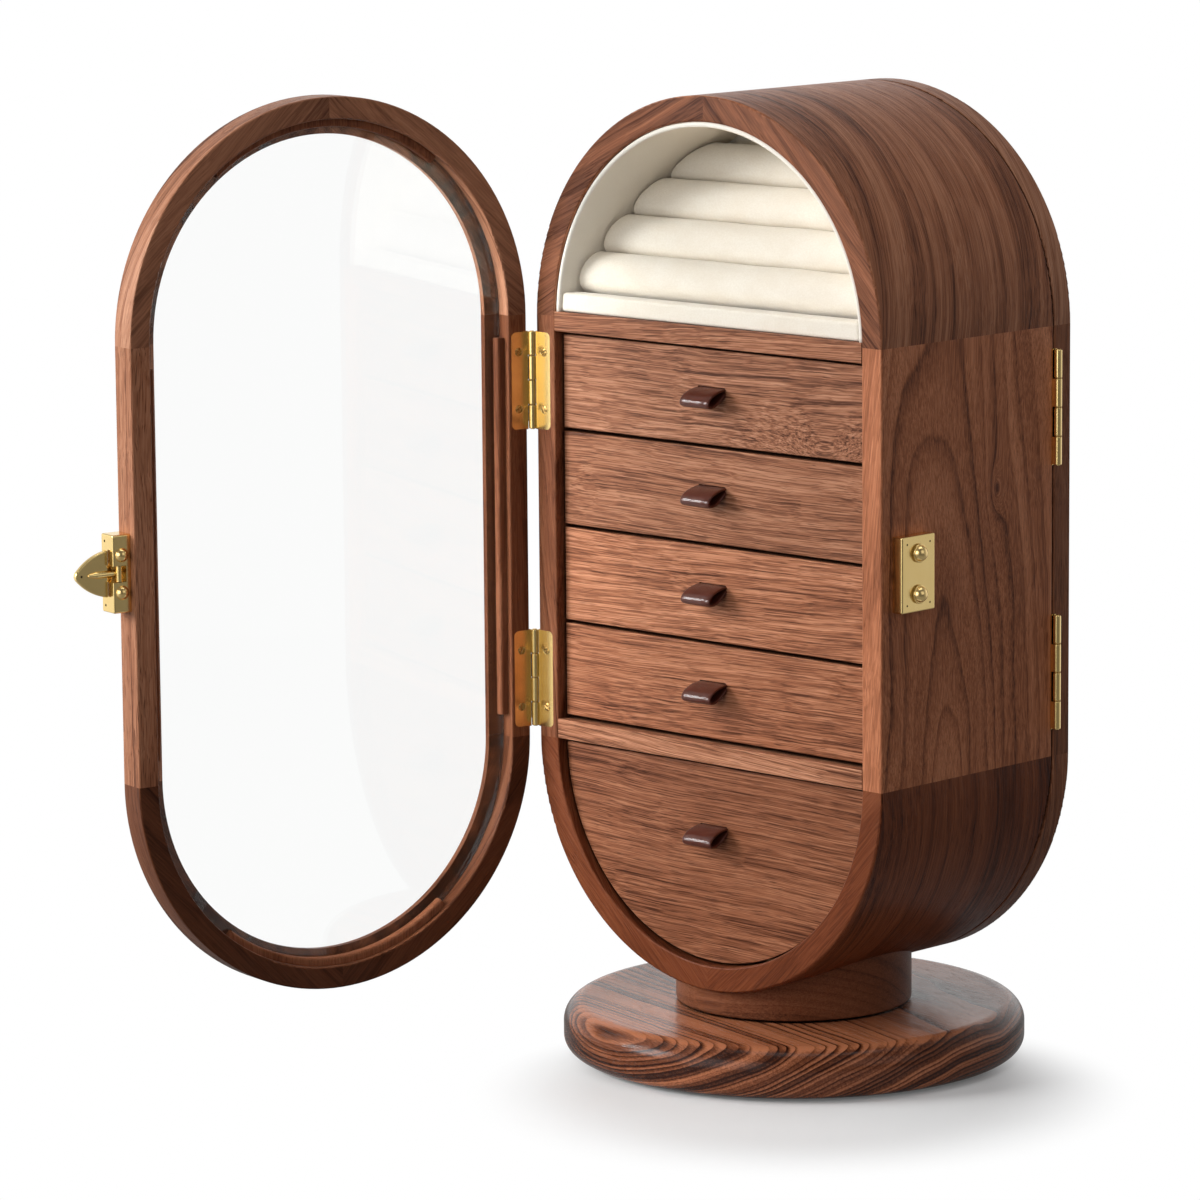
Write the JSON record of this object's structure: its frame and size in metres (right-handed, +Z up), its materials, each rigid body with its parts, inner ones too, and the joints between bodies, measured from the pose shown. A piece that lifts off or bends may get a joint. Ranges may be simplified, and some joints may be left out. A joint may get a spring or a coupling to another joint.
{
  "type": "jewelry cabinet",
  "caption": "Capsule-shaped walnut jewelry cabinet on a round swivel base, with a glazed front door, velvet ring rolls, drawers with leather pulls, brass hinges and a swing latch.",
  "frame": {"origin": "centre of the felt underside of the base, on the surface that the cabinet stands on", "axes": "+Z up, -Y out of the drawer front, +X to the right when the cabinet is seen from its front"},
  "size_m": [0.2387, 0.3405, 0.38],
  "materials": {
    "walnut_case": "satin oil finish",
    "walnut_door": "satin oil finish",
    "walnut_drawer": "satin oil finish",
    "maple_box": "matt",
    "leather": "semi gloss",
    "velvet": "short pile velvet",
    "felt": "pressed felt",
    "glass": "clear",
    "brass": "satin",
    "steel": "plain",
    "nylon": "matt"
  },
  "bodies": {
    "stand": {"base_disc": "walnut_case", "base_felt_pad": "felt", "swivel_slip_ring": "nylon", "swivel_bolt": "steel"},
    "cabinet": {"swivel_neck": "walnut_case", "case_top_arch": "walnut_case", "case_bottom_arch": "walnut_case", "case_left_side": "walnut_case", "case_right_side": "walnut_case", "shelf_upper": "walnut_case", "shelf_lower": "walnut_case", "divider_panel": "walnut_case", "drawer_runners": "maple_box", "arch_liner": "velvet", "ring_back_pad": "velvet", "ring_ledge": "velvet", "ring_bed": "velvet", "ring_rolls": "velvet", "case_hinge_leaves": "brass", "case_hinge_screws": "brass", "hinge_pins": "brass", "catch_plate": "brass", "catch_studs": "brass", "necklace_rail": "walnut_case", "necklace_hooks": "brass"},
    "front_door": {"door_top_arch": "walnut_door", "door_bottom_arch": "walnut_door", "door_hinge_stile": "walnut_door", "door_latch_stile": "walnut_door", "door_glass": "glass", "glazing_beads": "walnut_door", "door_hinge_leaves": "brass", "door_hinge_screws": "brass", "latch_body": "brass", "latch_fasteners": "brass"},
    "latch_tongue": {"latch_tongue": "brass"},
    "rear_door": {"rear_top_arch": "walnut_door", "rear_bottom_arch": "walnut_door", "rear_hinge_stile": "walnut_door", "rear_free_stile": "walnut_door", "rear_panel": "walnut_door", "rear_hinge_leaves": "brass", "rear_hinge_screws": "brass"},
    "drawer_1": {"drawer_1_front": "walnut_drawer", "drawer_1_box": "maple_box", "drawer_1_pull": "leather"},
    "drawer_2": {"drawer_2_front": "walnut_drawer", "drawer_2_box": "maple_box", "drawer_2_pull": "leather"},
    "drawer_3": {"drawer_3_front": "walnut_drawer", "drawer_3_box": "maple_box", "drawer_3_pull": "leather"},
    "drawer_4": {"drawer_4_front": "walnut_drawer", "drawer_4_box": "maple_box", "drawer_4_pull": "leather"},
    "drawer_5": {"drawer_5_front": "walnut_drawer", "drawer_5_box": "maple_box", "drawer_5_pull": "leather"}
  },
  "joints": [
    {"name": "swivel", "type": "hinge", "parent": "stand", "child": "cabinet", "pos_m": [0, 0, 0], "axis": [0, 0, 1], "continuous": true},
    {"name": "front_door_hinge", "type": "hinge", "parent": "cabinet", "child": "front_door", "pos_m": [-0.0922, -0.0503, 0], "axis": [0, 0, -1], "range_deg": [-101, 74]},
    {"name": "latch_swing", "type": "hinge", "parent": "front_door", "child": "latch_tongue", "pos_m": [-0.13262, -0.23254, 0.2045], "axis": [0, 0, -1], "range_deg": [-90, 0]},
    {"name": "rear_door_hinge", "type": "hinge", "parent": "cabinet", "child": "rear_door", "pos_m": [0.0922, 0.0503, 0], "axis": [0, 0, -1], "range_deg": [0, 175]},
    {"name": "drawer_1_slide", "type": "slide", "parent": "cabinet", "child": "drawer_1", "axis": [0, -1, 0], "range_m": [0, 0.04]},
    {"name": "drawer_2_slide", "type": "slide", "parent": "cabinet", "child": "drawer_2", "axis": [0, -1, 0], "range_m": [0, 0.04]},
    {"name": "drawer_3_slide", "type": "slide", "parent": "cabinet", "child": "drawer_3", "axis": [0, -1, 0], "range_m": [0, 0.04]},
    {"name": "drawer_4_slide", "type": "slide", "parent": "cabinet", "child": "drawer_4", "axis": [0, -1, 0], "range_m": [0, 0.04]},
    {"name": "drawer_5_slide", "type": "slide", "parent": "cabinet", "child": "drawer_5", "axis": [0, -1, 0], "range_m": [0, 0.04]}
  ]
}
